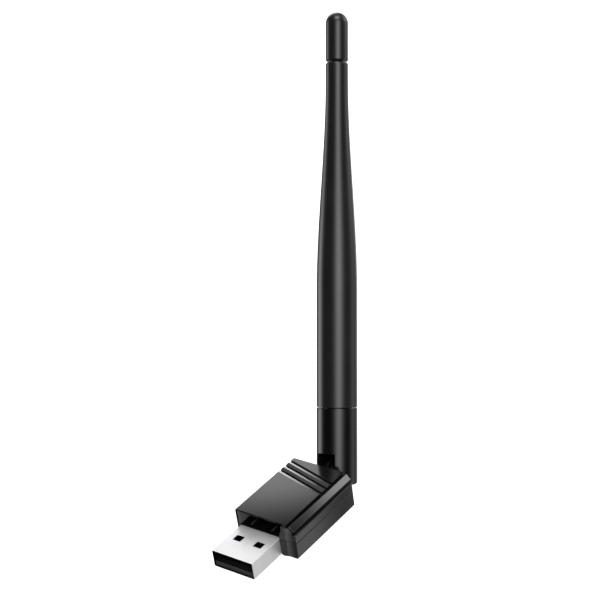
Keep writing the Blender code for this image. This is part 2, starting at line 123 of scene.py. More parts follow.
SHEET = 0.3
CONTACTS_AT = (-3.5, -1.0, 1.0, 3.5)
NOSE_EDGE = -0.7
PLUG_HOLE = (2.3, 1.95)
PLUG_HOLE_X = 3.05
PLUG_HOLE_Y = -4.4
HOLDER_T = 0.2

PIN_AT = (1.4, 30.6, 2.4)
SPINDLE_R = 2.3
SPINDLE_FRONT = 20.5
CLIP_Y = (21.8, 22.3)
CLIP_GROOVE_R = 1.75
FLANGE_R = 3.4
FLANGE = (REAR + 0.3, 25.1)
TONGUE_ROOT = 24.8
EYE_R = 1.9
SLOT_W = 5.4
SLOT_TOP = 3.4
WHIP_R = 5.16
TIP_R = 2.87
KNUCKLE_END = 4.35
SEAM = 14.8
SPIGOT = (3.5, 19.5)
TAPER = (44.0, 97.0)
BORE = ((44.0, 3.8), (84.0, 1.65))
TIP_SEAM = 101.5
TIP_NOTCH = (0.35, 0.38)
TIP_PLUG = (1.5, 4.5)
WHIP_TOP = 114.05
PIN_R = 1.0
PIN_X = (-4.3, 3.7)
EAR_SKIN = 1.05
COAX_R = 0.45

joint_tilt = frame["joints"][1]
tilt_axis = Vector(joint_tilt["axis"])
SWIVEL_REST = math.atan2(tilt_axis.z, -tilt_axis.x)
TILT_REST = math.radians(joint_tilt["range_deg"][0])
ROW = Matrix.Identity(4)
SWIVEL = (Matrix.Translation((PIN_AT[0] * MM, 0, PIN_AT[2] * MM))
          @ Matrix.Rotation(SWIVEL_REST, 4, "Y"))
ANTENNA = (SWIVEL @ Matrix.Translation((0, PIN_AT[1] * MM, 0))
           @ Matrix.Rotation(TILT_REST, 4, "X"))


# ------------------------------------------------------------ mesh tools
def arc(centre, radius, start, end, count):
    """Points along an arc, with angles in degrees."""
    points = []
    for step in range(count + 1):
        angle = math.radians(start + (end - start) * step / count)
        points.append((centre[0] + radius * math.cos(angle),
                       centre[1] + radius * math.sin(angle)))
    return points


def rounded(points, radii, steps=6):
    """An outline with an arc of its own radius at each corner."""
    made = []
    for place, radius in enumerate(radii):
        corner = Vector(points[place])
        if radius <= 0:
            made.append(tuple(corner))
            continue
        back = (Vector(points[place - 1]) - corner).normalized()
        ahead = (Vector(points[(place + 1) % len(points)]) - corner).normalized()
        half = back.angle(ahead) / 2
        centre = corner + (back + ahead).normalized() * radius / math.sin(half)
        start = corner + back * radius / math.tan(half) - centre
        end = corner + ahead * radius / math.tan(half) - centre
        sweep = start.angle_signed(end)
        for step in range(steps + 1):
            turn = Matrix.Rotation(-sweep * step / steps, 2)
            made.append(tuple(centre + turn @ start))
    return made


def prism(points, axis, start, end):
    """A bar along one axis, with its section given in the other two axes."""
    def put(a, b, along):
        return {"X": (along, a, b), "Y": (a, along, b), "Z": (a, b, along)}[axis]
    shape = bmesh.new()
    low = [shape.verts.new(put(a, b, start)) for a, b in points]
    high = [shape.verts.new(put(a, b, end)) for a, b in points]
    shape.faces.new(low)
    shape.faces.new(high)
    for place in range(len(points)):
        shape.faces.new((low[place - 1], low[place], high[place], high[place - 1]))
    bmesh.ops.recalc_face_normals(shape, faces=shape.faces)
    return shape


def block(low, high):
    """A plain block between two corners, used as a cutter or a core."""
    corners = [(low[0], low[1]), (high[0], low[1]), (high[0], high[1]), (low[0], high[1])]
    return prism(corners, "Z", low[2], high[2])


def lathe(profile, sides=96, axis="Z", closed=False):
    """A turned body from (radius, height) points; ends on the axis are closed."""
    shape = bmesh.new()
    rings = []
    for radius, height in profile:
        count = 1 if radius < 1e-6 else sides
        ring = []
        for side in range(count):
            angle = 2 * math.pi * side / sides
            a, b = radius * math.cos(angle), radius * math.sin(angle)
            spot = {"Z": (a, b, height), "Y": (a, height, b), "X": (height, a, b)}[axis]
            ring.append(shape.verts.new(spot))
        rings.append(ring)
    pairs = list(zip(rings, rings[1:]))
    if closed:
        pairs.append((rings[-1], rings[0]))
    for one, two in pairs:
        for side in range(sides):
            following = (side + 1) % sides
            if len(one) == 1 and len(two) == 1:
                continue
            if len(one) == 1:
                shape.faces.new((one[0], two[side], two[following]))
            elif len(two) == 1:
                shape.faces.new((one[following], one[side], two[0]))
            else:
                shape.faces.new((one[following], one[side], two[side], two[following]))
    bmesh.ops.recalc_face_normals(shape, faces=shape.faces)
    return shape


def rod(radius, start, end, axis, at=(0.0, 0.0, 0.0), sides=48, edge=0.0):
    """A round bar along one axis through at, with its ends' edges broken."""
    profile = [(0, start), (radius - edge, start), (radius, start + edge),
               (radius, end - edge), (radius - edge, end), (0, end)]
    if edge == 0:
        profile = [(0, start), (radius, start), (radius, end), (0, end)]
    shape = lathe(profile, sides, axis)
    bmesh.ops.translate(shape, vec=at, verts=shape.verts)
    return shape


def turn_round_z(shape, angle, to):
    """Turn a mesh about Z and move it."""
    bmesh.ops.transform(shape, matrix=Matrix.Rotation(angle, 4, "Z"), verts=shape.verts)
    bmesh.ops.translate(shape, vec=to, verts=shape.verts)
    return shape


def loose_object(shape):
    mesh = bpy.data.meshes.new("helper")
    shape.to_mesh(mesh)
    shape.free()
    made = bpy.data.objects.new("helper", mesh)
    bpy.context.scene.collection.objects.link(made)
    return made


def combine(target, tools, operation="DIFFERENCE"):
    """The target with the tools cut from it, joined to it or crossed with it."""
    host = loose_object(target)
    helpers = [loose_object(tool) for tool in tools]
    for helper in helpers:
        step = host.modifiers.new("step", "BOOLEAN")
        step.operation = operation
        step.solver = "EXACT"
        step.object = helper
    graph = bpy.context.evaluated_depsgraph_get()
    mesh = bpy.data.meshes.new_from_object(host.evaluated_get(graph))
    shape = bmesh.new()
    shape.from_mesh(mesh)
    bpy.data.meshes.remove(mesh)
    for helper in [host, *helpers]:
        old = helper.data
        bpy.data.objects.remove(helper)
        bpy.data.meshes.remove(old)
    bmesh.ops.remove_doubles(shape, verts=shape.verts, dist=1e-4)
    bmesh.ops.dissolve_limit(shape, angle_limit=math.radians(0.3), verts=shape.verts,
                             edges=shape.edges)
    return shape


def round_edges(shape, radius, steps=3, sharper=50, where=None):
    """Round the edges that turn by more than an angle, all or only some of them."""
    edges = []
    for edge in shape.edges:
        if len(edge.link_faces) != 2 or edge.calc_face_angle(0) < math.radians(sharper):
            continue
        middle = (edge.verts[0].co + edge.verts[1].co) / 2
        if where is None or where(middle):
            edges.append(edge)
    bmesh.ops.bevel(shape, geom=edges, offset=radius, offset_type="OFFSET", segments=steps,
                    profile=0.5, affect="EDGES", clamp_overlap=False)
    return shape


def put_in_order(shape):
    """Sort the faces by their corners, because a bisection leaves them in no fixed order."""
    shape.verts.index_update()
    corners = {face: sorted(vert.index for vert in face.verts) for face in shape.faces}
    rank = {face: place for place, face in enumerate(sorted(corners, key=corners.get))}
    shape.faces.sort(key=rank.get)
    shape.faces.index_update()


def accent(shape, number, where):
    """Give the faces that a test picks their own material, by its number."""
    shape.normal_update()
    for face in shape.faces:
        if where(face.calc_center_median(), face.normal):
            face.material_index = number
    return shape


def piece(name, shape, body, nodes, looks, place=ROW):
    """Make a mesh in millimetres into a piece that rides on a body and stands for nodes."""
    bmesh.ops.scale(shape, vec=(MM, MM, MM), verts=shape.verts)
    mesh = bpy.data.meshes.new(name)
    shape.to_mesh(mesh)
    shape.free()
    mesh.shade_smooth()
    mesh.set_sharp_from_angle(angle=math.radians(42))
    for look in looks:
        mesh.materials.append(look)
    made = bpy.data.objects.new(name, mesh)
    bpy.context.scene.collection.objects.link(made)
    made.matrix_world = place
    even = made.modifiers.new("even_normals", "WEIGHTED_NORMAL")
    even.keep_sharp = True
    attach(made, body)
    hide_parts(*nodes)
    return made


# ------------------------------------------------------------- materials
class Look:
    """A Principled material whose inputs are fed by procedural nodes, in millimetres."""

    def __init__(self, name, metallic=0.0, ior=1.5):
        self.material = bpy.data.materials.new(name)
        self.material.use_nodes = True
        self.tree = self.material.node_tree
        self.shader = self.tree.nodes["Principled BSDF"]
        self.shader.inputs["Metallic"].default_value = metallic
        self.shader.inputs["IOR"].default_value = ior
        place = self.tree.nodes.new("ShaderNodeTexCoord")
        self.place = place.outputs["Object"]
        self.height = None

    def node(self, kind, inputs=(), **settings):
        made = self.tree.nodes.new(kind)
        for key, value in settings.items():
            setattr(made, key, value)
        for key, value in dict(inputs).items():
            if isinstance(value, bpy.types.NodeSocket):
                self.tree.links.new(value, made.inputs[key])
            else:
                made.inputs[key].default_value = value
        return made

    def noise(self, per_mm, detail=2.0, stretch=(1, 1, 1), rough=0.5):
        """Noise with a number of grains to the millimetre, from 0 to 1."""
        scale = [1000 * value for value in stretch]
        mapped = self.node("ShaderNodeMapping", {"Vector": self.place, "Scale": scale})
        made = self.node("ShaderNodeTexNoise", {
            "Vector": mapped.outputs[0], "Scale": per_mm, "Detail": detail, "Roughness": rough})
        return made.outputs["Fac"]

    def between(self, fac, low, high, start=0.3, end=0.7):
        """A value that runs from low to high as fac runs from start to end."""
        made = self.node("ShaderNodeMapRange", {
            "Value": fac, "From Min": start, "From Max": end, "To Min": low, "To Max": high})
        return made.outputs[0]

    def math(self, operation, one, two):
        return self.node("ShaderNodeMath", {0: one, 1: two}, operation=operation).outputs[0]

    def mix(self, fac, one, two):
        """A colour between two colours."""
        made = self.node("ShaderNodeMix", {"Factor": fac}, data_type="RGBA")
        for socket, value in ((made.inputs[6], one), (made.inputs[7], two)):
            if isinstance(value, bpy.types.NodeSocket):
                self.tree.links.new(value, socket)
            else:
                socket.default_value = (*value, 1.0)
        return made.outputs[2]

    def feed(self, name, value):
        if isinstance(value, bpy.types.NodeSocket):
            self.tree.links.new(value, self.shader.inputs[name])
        else:
            self.shader.inputs[name].default_value = value

    def crown(self, centre, bend):
        """The slight outward bow of a moulded shell, as slope gained for each millimetre."""
        apart = self.node("ShaderNodeSeparateXYZ", {0: self.place})
        rise = None
        for axis in (0, 1):
            off = self.math("SUBTRACT", self.math("MULTIPLY", apart.outputs[axis], 1000.0),
                            centre[axis])
            part = self.math("MULTIPLY", self.math("MULTIPLY", off, off), -bend[axis] / 2)
            rise = part if rise is None else self.math("ADD", rise, part)
        self.bump(rise, 1.0)

    def bump(self, height, depth_mm, strength=1.0):
        """Fine relief of a depth in millimetres; later calls lie on earlier ones."""
        inputs = {"Height": height, "Distance": depth_mm * MM, "Strength": strength}
        if self.height is not None:
            inputs["Normal"] = self.height
        made = self.node("ShaderNodeBump", inputs)
        self.height = made.outputs[0]
        self.tree.links.new(self.height, self.shader.inputs["Normal"])


def tint(colour, factor):
    return tuple(value * factor for value in colour)


def plastic(name, colour, rough, grain=5.0, relief=0.003, vary=0.25, scuff=0.5, ior=1.5,
            bow=None):
    """Moulded plastic: cloudy colour, grain, and a few faint hairline scuffs."""
    look = Look(name, ior=ior)
    cloud = look.noise(0.18, 3.0)
    speck = look.noise(grain, 3.0, rough=0.6)
    hairs = look.noise(1.2, 4.0, (9, 0.5, 9), 0.7)
    scuffs = look.between(hairs, 0.0, 1.0, 0.62, 0.74)
    base = look.mix(look.between(cloud, 0, 1), tint(colour, 1 - vary), tint(colour, 1 + vary))
    base = look.mix(look.math("MULTIPLY", look.between(speck, 0, 1, 0.35, 0.65), 0.35),
                    base, tint(colour, 1.5))
    look.feed("Base Color", base)
    varied = look.math("ADD", look.between(cloud, rough * 0.92, rough * 1.08),
                       look.between(speck, -0.02, 0.02))
    look.feed("Roughness", look.math("ADD", varied, look.math("MULTIPLY", scuffs, 0.06 * scuff)))
    if bow:
        look.crown(((LEFT + RIGHT) / 2, REAR / 2), bow)
    look.bump(speck, relief)
    return look.material


def metal(name, colour, rough, brush=(14, 0.5, 14), relief=0.0015, vary=0.05, spots=0.04,
          metallic=1.0):
    """Plated or drawn metal: fine lines along one direction, and faint tarnish."""
    look = Look(name, metallic=metallic)
    lines = look.noise(1.5, 4.0, brush, 0.65)
    cloud = look.noise(0.3, 3.0)
    fine = look.noise(9.0, 2.0)
    base = look.mix(look.between(cloud, 0, 1), tint(colour, 1 - vary), tint(colour, 1 + vary))
    base = look.mix(look.math("MULTIPLY", look.between(lines, 0, 1, 0.55, 0.75), 0.35),
                    base, tint(colour, 0.86))
    look.feed("Base Color", base)
    varied = look.math("ADD", look.between(lines, rough * 0.85, rough * 1.2),
                       look.between(cloud, 0.0, spots))
    look.feed("Roughness", varied)
    look.bump(lines, relief)
    look.bump(fine, relief * 0.6)
    return look.material


def painted_highlight_fade(name, left, right, span, rough):
    """Plastic with a painted highlight, bright at the left and darkening to the right over a span
    in millimetres.
    """
    look = Look(name)
    apart = look.node("ShaderNodeSeparateXYZ", {0: look.place})
    across = look.between(apart.outputs[0], 0, 1, span[0] * MM, span[1] * MM)
    speck = look.noise(5.0, 3.0, rough=0.6)
    base = look.mix(across, left, right)
    look.feed("Base Color", look.mix(look.between(speck, 0, 0.25), base, (0.02, 0.02, 0.02)))
    look.feed("Roughness", look.between(speck, rough - 0.05, rough + 0.05))
    look.bump(speck, 0.003)
    return look.material


def painted_crease_highlight(name, colour, crease, edges, levels, rough):
    """Plastic with painted light: lightest in a painted highlight along an upright crease, at a
    place across in millimetres.
    """
    look = Look(name)
    apart = look.node("ShaderNodeSeparateXYZ", {0: look.place})
    across = look.math("MULTIPLY", apart.outputs[0], 1000.0)
    rise = look.between(across, levels[0], 1.0, crease - edges[0], crease)
    fall = look.between(across, 1.0, levels[1], crease, crease + edges[1])
    speck = look.noise(6.0, 3.0, rough=0.6)
    level = look.math("MULTIPLY", look.math("MULTIPLY", rise, fall),
                      look.between(speck, 0.85, 1.15))
    look.feed("Base Color", look.mix(level, (0.0, 0.0, 0.0), colour))
    look.feed("Roughness", look.between(speck, rough - 0.04, rough + 0.04))
    look.bump(speck, 0.002)
    return look.material


def circuit_board_look():
    """Green solder mask over traces, with plated vias."""
    look = Look("circuit_board_look")
    mapped = look.node("ShaderNodeMapping", {"Vector": look.place, "Scale": (1000,) * 3})
    traces = look.node("ShaderNodeTexBrick", {
        "Vector": mapped.outputs[0], "Scale": 1.0, "Mortar Size": 0.09, "Mortar Smooth": 0.2,
        "Brick Width": 2.6, "Row Height": 0.55})
    dots = look.node("ShaderNodeTexVoronoi", {"Vector": mapped.outputs[0], "Scale": 0.8})
    via = look.between(dots.outputs["Distance"], 1.0, 0.0, 0.16, 0.2)
    cloud = look.noise(0.7, 3.0)
    mask = look.mix(look.between(cloud, 0, 1), (0.012, 0.11, 0.045), (0.02, 0.16, 0.07))
    lit = look.mix(traces.outputs["Fac"], mask, (0.03, 0.26, 0.11))
    look.feed("Base Color", look.mix(via, lit, (0.80, 0.58, 0.25)))
    look.feed("Metallic", via)
    look.feed("Roughness", look.between(cloud, 0.35, 0.5))
    look.bump(traces.outputs["Fac"], 0.02)
    return look.material


BOW = (0.014, 0.015)
GLOSS = plastic("gloss_black_look", (0.006, 0.006, 0.0065), 0.11, 6.0, 0.001, bow=BOW)
SATIN = plastic("satin_black_look", (0.007, 0.007, 0.0075), 0.15, 6.0, 0.0015, bow=BOW)
KNUCKLE_LOOK = plastic("knuckle_look", (0.003, 0.003, 0.0033), 0.14, 6.0, 0.0008)
WHIP_LOOK = plastic("whip_look", (0.013, 0.013, 0.0137), 0.17, 7.0, 0.0010, vary=0.12)
STRIP_LOOK = plastic("strip_look", (0.010, 0.010, 0.0105), 0.12, 6.0, 0.0008, ior=1.8,
                     bow=BOW)
SHADOWED = plastic("shadowed_black_look", (0.003, 0.003, 0.003), 0.60, 8.0, 0.003, ior=1.2)
INSULATOR = plastic("insulator_look", (0.050, 0.050, 0.050), 0.50, 8.0, 0.003)
# Painted light: the bay's left inner wall, black plastic like the rest, painted light grey for the
# light that falls on it
LIGHT_PAINTED_WALL = plastic("bay_painted_light_look", (0.170, 0.170, 0.172), 0.45, 6.0, 0.002)
# Painted light: the pillar's front is painted lighter than the black housing, brightest in a
# painted highlight along the crease
PILLAR_PAINTED_HIGHLIGHT = painted_crease_highlight("pillar_painted_highlight", (0.14, 0.14, 0.142), 8.1, (0.4, 1.8), (0.4, 0.22), 0.35)
RIB_LOOK = plastic("rib_look", (0.036, 0.036, 0.037), 0.60, 4.0, 0.006, ior=1.25)
# Painted highlight: the slopes into the grooves, bright at their left ends and fading to near
# black at the right
PAINTED_SLOPE_HIGHLIGHT = painted_highlight_fade("painted_slope_highlight", (0.75, 0.75, 0.76), (0.02, 0.02, 0.02), (-7, 6), 0.45)
CABLE = plastic("cable_look", (0.012, 0.012, 0.013), 0.42, 9.0, 0.003)
EPOXY = plastic("chip_look", (0.035, 0.035, 0.038), 0.50, 12.0, 0.006)
CERAMIC = plastic("ceramic_look", (0.45, 0.33, 0.20), 0.50, 9.0, 0.004, vary=0.12)
NATURAL = plastic("spacer_look", (0.78, 0.78, 0.75), 0.45, 7.0, 0.003, vary=0.04)
NICKEL = metal("nickel_look", (0.80, 0.80, 0.81), 0.42, metallic=0.6)
STEEL = metal("steel_look", (0.60, 0.60, 0.62), 0.30, (6, 6, 6))
GOLD = metal("gold_look", (0.50, 0.35, 0.14), 0.35, (14, 0.5, 14))
BRASS = metal("brass_look", (0.75, 0.58, 0.30), 0.30, (14, 14, 0.6))
BOARD = circuit_board_look()


# --------------------------------------------------------------- housing
def plan_outline():
    """The housing seen from above, with its rear corners rounded."""
    points = [(LEFT, 0), (RIGHT, 0), (RIGHT, REAR), (LEFT, REAR)]
    return rounded(points, (0, 0, REAR_ROUND, REAR_ROUND), 5)


def bay_cutter(low, high, flare_round):
    """The bay around the plug, with the round of the pillar at its front."""
    flare = arc((BAY_X + flare_round, flare_round), flare_round, 270, 180, 16)
    points = [(-BAY_X, -2), (BAY_X + flare_round, -2), *flare, (BAY_X, BAY_REAR),
              (-BAY_X, BAY_REAR)]
    return prism(points, "Z", low, high)


def lip_cutter():
    """The slope under the roof's front edge, which leaves a thin lip."""
    slope = [(-1, BAY_ROOF - 1), (1.5, BAY_ROOF - 1), (1.5, BAY_ROOF), (1.3, BAY_ROOF),
             (0, TOP - LIP), (-1, TOP - LIP)]
    return prism(slope, "X", -BAY_X, BAY_X + 0.5)


def groove_cutter(number):
    """One slanting groove: a slope, a narrow gap, and the leaning rib behind it, if any."""
    front, rear, drop = GROOVE_SLOPE
    over = 0.3
    section = [(front - over, -drop * over / (rear - front)), (rear, drop), (rear, GROOVE_FLOOR),
               (0, GROOVE_FLOOR)]
    if number:
        crest = GROOVE_PITCH + front
        section += [(0, RIB_DROP), (crest + over, -RIB_DROP * over / crest), (crest + over, 1)]
    else:
        section.append((0, 1))
    section.append((front - over, 1))
    cutter = prism(section, "X", -GROOVE_LENGTH / 2, GROOVE_LENGTH / 2 + 0.3)
    along = math.cos(GROOVE_ANGLE) * GROOVE_LENGTH / 2
    rise = math.sin(GROOVE_ANGLE) * GROOVE_LENGTH / 2
    spot = (RIGHT - RIGHT_CHAMFER[0] - along, GROOVE_LAST - GROOVE_PITCH * number + rise, TOP)
    return turn_round_z(cutter, -GROOVE_ANGLE, spot)


def chamfer_point(down, deep):
    """A point down the right chamfer from its top edge, at a depth below its face."""
    run, drop = RIGHT_CHAMFER
    length = math.hypot(run, drop)
    return (RIGHT - run + (run * down - drop * deep) / length,
            TOP - (drop * down + run * deep) / length)


def channel_notches():
    """The sharp channels that run along both sides of the strip."""
    length = math.hypot(*RIGHT_CHAMFER)
    width, middle = STRIP[:2]
    notches = []
    for start, end in ((0.04, middle - width / 2 + 0.03), (middle + width / 2 - 0.03,
                                                           length - 0.04)):
        section = [chamfer_point(start, CHANNEL_DEPTH - 0.05),
                   chamfer_point((start + end) / 2, NOTCH_DEPTH),
                   chamfer_point(end, CHANNEL_DEPTH - 0.05)]
        notches.append(prism(section, "Y", -1, REAR + 1))
    return notches


def pillar_nose(low, high):
    """The forward bulge of the pillar beside the plug, rounded where it meets the plug."""
    tip_x, tip_y = PILLAR_NOSE
    plan = rounded([(PILLAR_CREASE, 0), (PILLAR_CREASE, 1.2), (tip_x, 1.2), (tip_x, tip_y)],
                   (0, 0, 0, 0.25), 6)
    return prism(plan, "Z", low, high)


def spindle_hole():
    return rod(SPINDLE_R + 0.3, REAR - 3, REAR + 2, "Y", (PIN_AT[0], 0, PIN_AT[2]), 64)


def in_groove(spot):
    """Whether a spot lies on the faces that the grooves leave."""
    front, rear = GROOVE_ZONE
    return TOP - 0.9 < spot.z < TOP - 0.01 and front < spot.y < rear and spot.x < RIGHT - 2.2


def in_channel(spot, way):
    """Whether a face lies below the chamfer, in the channels beside the strip."""
    run, drop = RIGHT_CHAMFER
    above = ((spot.x - RIGHT + run) * drop + (spot.z - TOP) * run) / math.hypot(run, drop)
    return (-NOTCH_DEPTH - 0.1 < above < -0.06 and spot.x > RIGHT - run - 0.4
            and spot.z > TOP - drop - 0.1 and abs(way.y) < 0.5)


def on_pillar(spot, way):
    """Whether a face is on the front of the pillar beside the plug."""
    return spot.x > BAY_X - 0.2 and spot.y < 2.1 and way.y < -0.25 and spot.z < BAY_ROOF


def top_cover():
    run, drop = RIGHT_CHAMFER
    length = math.hypot(run, drop)
    inward = (-CHANNEL_DEPTH * drop / length, -CHANNEL_DEPTH * run / length)
    corner = (RIGHT - run, TOP)
    foot = (RIGHT, TOP - drop)
    section = rounded(
        [(LEFT, SEAM_HIGH), (RIGHT, SEAM_HIGH), foot,
         (foot[0] + inward[0], foot[1] + inward[1]),
         (corner[0] + inward[0], corner[1] + inward[1]), corner, (LEFT, TOP)],
        (0, 0, 0.10, 0, 0, 0.10, LEFT_ROUND))
    shape = combine(prism(section, "Y", 0, REAR), [prism(plan_outline(), "Z", 0, 9)],
                    "INTERSECT")
    tools = [bay_cutter(SEAM_LOW - 2, BAY_ROOF, PILLAR_ROUND), lip_cutter(),
             block((ROOM[0], ROOM[1], 0), (ROOM_RIGHT[0], REAR - REAR_WALL, BAY_ROOF)),
             spindle_hole()]
    tools += [groove_cutter(number) for number in range(GROOVES)]
    tools += channel_notches()
    shape = combine(shape, tools)
    slope = [(-2, NOSE_TOP), (PILLAR_NOSE[1], NOSE_TOP), (NOSE_BACK, NOSE_HIGH),
             (NOSE_BACK, 9), (-2, 9)]
    nose = combine(pillar_nose(SEAM_HIGH, NOSE_HIGH + 1), [prism(slope, "X", 5, 9)])
    shape = combine(shape, [nose], "UNION")
    round_edges(shape, EDGE_ROUND, 3, 48)
    bmesh.ops.bisect_plane(shape, geom=[*shape.verts, *shape.edges, *shape.faces],
                           plane_co=(PILLAR_CREASE - 0.1, 0, 0), plane_no=(1, 0, 0))
    put_in_order(shape)
    # Painted light and shade on the top cover: the bay's left wall painted light, the bay's
    # inside, the channels beside the strip and the grooves' gaps painted shade, the pillar's front
    # and the groove slopes painted highlights
    accent(shape, BAY_LIGHT_PAINTED_FACE, lambda spot, way: way.x > 0.9 and abs(spot.x + BAY_X) < 0.1)
    accent(shape, DARK_FACE, lambda spot, way: -BAY_X < spot.x < BAY_X
           and 0.2 < spot.y < BAY_REAR + 0.1 and spot.z < BAY_ROOF + 0.5 and way.x < 0.9)
    accent(shape, DARK_FACE, in_channel)
    accent(shape, PILLAR_HIGHLIGHT_FACE, on_pillar)
    accent(shape, DARK_FACE, lambda spot, way: in_groove(spot) and way.z < 0.9
           and abs(way.x) < 0.9)
    accent(shape, SLOPE_HIGHLIGHT_FACE, lambda spot, way: in_groove(spot) and way.y > 0.25
           and way.z > 0.9)
    accent(shape, RIB_FACE, lambda spot, way: in_groove(spot) and way.y < -0.04
           and way.z > 0.95)
    return shape


def bottom_cover():
    section = rounded([(LEFT, BOTTOM), (RIGHT, BOTTOM), (RIGHT, SEAM_LOW), (LEFT, SEAM_LOW)],
                      (FOOT_ROUND, FOOT_ROUND, 0, 0))
    shape = combine(prism(section, "Y", 0, REAR), [prism(plan_outline(), "Z", -5, 4)],
                    "INTERSECT")
    shape = combine(shape, [
        bay_cutter(BOTTOM - 2, SEAM_LOW + 2, LOWER_PILLAR_ROUND),
        block((ROOM[0], BAY_REAR - 1, BOTTOM + WALL),
              (ROOM_RIGHT[1], REAR - REAR_WALL, SEAM_LOW + 2)),
        spindle_hole()])
    shape = combine(shape, [pillar_nose(BOTTOM, SEAM_LOW)], "UNION")
    tip_x, corner = PILLAR_NOSE[0], PILLAR_CORNER
    outside = [(tip_x - 1, BOTTOM - 1), (tip_x + corner, BOTTOM - 1),
               *arc((tip_x + corner, BOTTOM + corner), corner, 270, 180, 10),
               (tip_x - 1, BOTTOM + corner)]
    shape = combine(shape, [prism(outside, "Y", -2, 1.2)])
    round_edges(shape, EDGE_ROUND, 3, 48)
    # Painted light: the pillar's front takes the look with the painted crease highlight
    return accent(shape, 1, on_pillar)


def trim_strip():
    """The flat strip between the two channels, with softened edges."""
    run, drop = RIGHT_CHAMFER
    length = math.hypot(run, drop)
    width, middle, proud, front, rear = STRIP
    thickness = CHANNEL_DEPTH - 0.1 + proud
    half = width / 2
    section = rounded([(-half, -thickness / 2), (half, -thickness / 2),
                       (half, thickness / 2), (-half, thickness / 2)],
                      (0.03, 0.03, 0.09, 0.09), 4)
    shape = prism(section, "Y", front, rear)
    round_edges(shape, 0.07, 3, 60)
    sink = CHANNEL_DEPTH - 0.1 - thickness / 2
    share = middle / length
    across = RIGHT - run + run * share - sink * drop / length
    up = TOP - drop * share - sink * run / length
    turn = Matrix.Rotation(math.atan2(drop, run), 4, "Y")
    bmesh.ops.transform(shape, matrix=turn, verts=shape.verts)
    bmesh.ops.translate(shape, vec=(across, 0, up), verts=shape.verts)
    return shape


# ------------------------------------------------------------------ plug
def sheet_section(inset, corner):
    """The plug's rounded rectangle, inset by a distance."""
    x, z = shell_high.x - inset, shell_high.z - inset
    return rounded([(-x, -z), (x, -z), (x, z), (-x, z)], (corner,) * 4, 6)


def usb_shell():
    """The folded shell: round bends, latch holes, a dovetailed seam and a dimple."""
    front, rear = shell_low.y, shell_high.y
    shape = prism(sheet_section(0, 0.22), "Y", front, rear)
    tools = [prism(sheet_section(SHEET, 0.08), "Y", front - 1, rear + 1)]
    wide, long = PLUG_HOLE
    for side in (-1, 1):
        for level in (-1, 1):
            hole = rounded([(-wide / 2, -long / 2), (wide / 2, -long / 2),
                            (wide / 2, long / 2), (-wide / 2, long / 2)], (0.1,) * 4, 3)
            hole = [(a + side * PLUG_HOLE_X, b + PLUG_HOLE_Y) for a, b in hole]
            ends = sorted((level * (shell_high.z - 0.6), level * (shell_high.z + 1)))
            tools.append(prism(hole, "Z", *ends))
    line = [(0, front - 1), (0, -9.2), (-0.55, -8.6), (0.55, -7.8), (0, -7.2), (0, -1.6),
            (-0.55, -1.0), (0.55, -0.2), (0, 0.4), (0, rear + 1)]
    half = 0.025
    seam = [(a - half, b) for a, b in line] + [(a + half, b) for a, b in reversed(line)]
    tools.append(prism(seam, "Z", -shell_high.z - 1, -shell_high.z + 0.6))
    shape = combine(shape, tools)
    round_edges(shape, 0.06, 2, 60)
    dimple = lathe([(0, -0.10), (0.16, -0.075), (0.27, 0.0), (0.3, 0.2), (0, 0.2)], 24)
    bmesh.ops.translate(dimple, vec=(0, -0.35, shell_high.z), verts=dimple.verts)
    shape = combine(shape, [dimple])
    inside = (shell_high.x - SHEET / 2, shell_high.z - SHEET / 2)
    # Painted shade: the shell's inner faces and the forward-facing edges of its sheet take the
    # near-black shadowed look, not nickel
    accent(shape, 1, lambda spot, way: abs(spot.x) < inside[0] and abs(spot.z) < inside[1])
    return accent(shape, 1, lambda spot, way: way.y < -0.9 and abs(spot.x) < inside[0])


def usb_tongue():
    """The tongue with the nose that covers the contacts' tips, its heel and contact slots."""
    low, high = tongue_low, tongue_high
    flat, nose_top, nose_rear = -0.15, 0.32, low.y + 1.85
    side = [(low.y, low.z), (high.y, low.z), (high.y, flat), (7.0, flat), (7.0, high.z),
            (-1.5, high.z), (-1.5, flat), (nose_rear, flat), (nose_rear, nose_top),
            (low.y + 0.6, nose_top), (low.y, NOSE_EDGE)]
    shape = prism(side, "X", low.x, high.x)
    tools = []
    for across in CONTACTS_AT:
        tools.append(block((across - 0.6, -2.5, flat), (across + 0.6, 8.0, flat + 0.4)))
        tools.append(block((across - 0.6, low.y + 0.6, flat), (across + 0.6, nose_rear + 1,
                                                               nose_top - 0.1)))
    shape = combine(shape, tools)
    accent(shape, 1, lambda spot, way: way.y < -0.9 and spot.y < low.y + 0.1)
    return shape


def usb_contact(node):
    """A sprung contact: a flat blade with a rounded nose."""
    low, high = box_mm(node)
    middle, half = (low.x + high.x) / 2, (high.x - low.x) / 2
    nose = arc((middle, low.y + half), half, 180, 360, 10)
    plan = [*nose, (high.x, high.y), (low.x, high.y)]
    shape = prism(plan, "Z", low.z, high.z)
    round_edges(shape, 0.05, 2, 60)
    return shape


def plug_holder():
    """The clamp plate over the plug, with two short ribs."""
    low, high = holder_low, holder_high
    plate_top = low.z + HOLDER_T
    shape = block((low.x, low.y, low.z), (high.x, high.y, plate_top))
    tools = []
    for middle in (-3.25, 2.85):
        tools.append(block((middle - 0.15, 1.0, low.z + HOLDER_T / 2),
                           (middle + 0.15, 3.2, high.z)))
    shape = combine(shape, tools, "UNION")
    round_edges(shape, 0.04, 2, 60)
    return accent(shape, 1, lambda spot, way: spot.z > plate_top + 0.05)


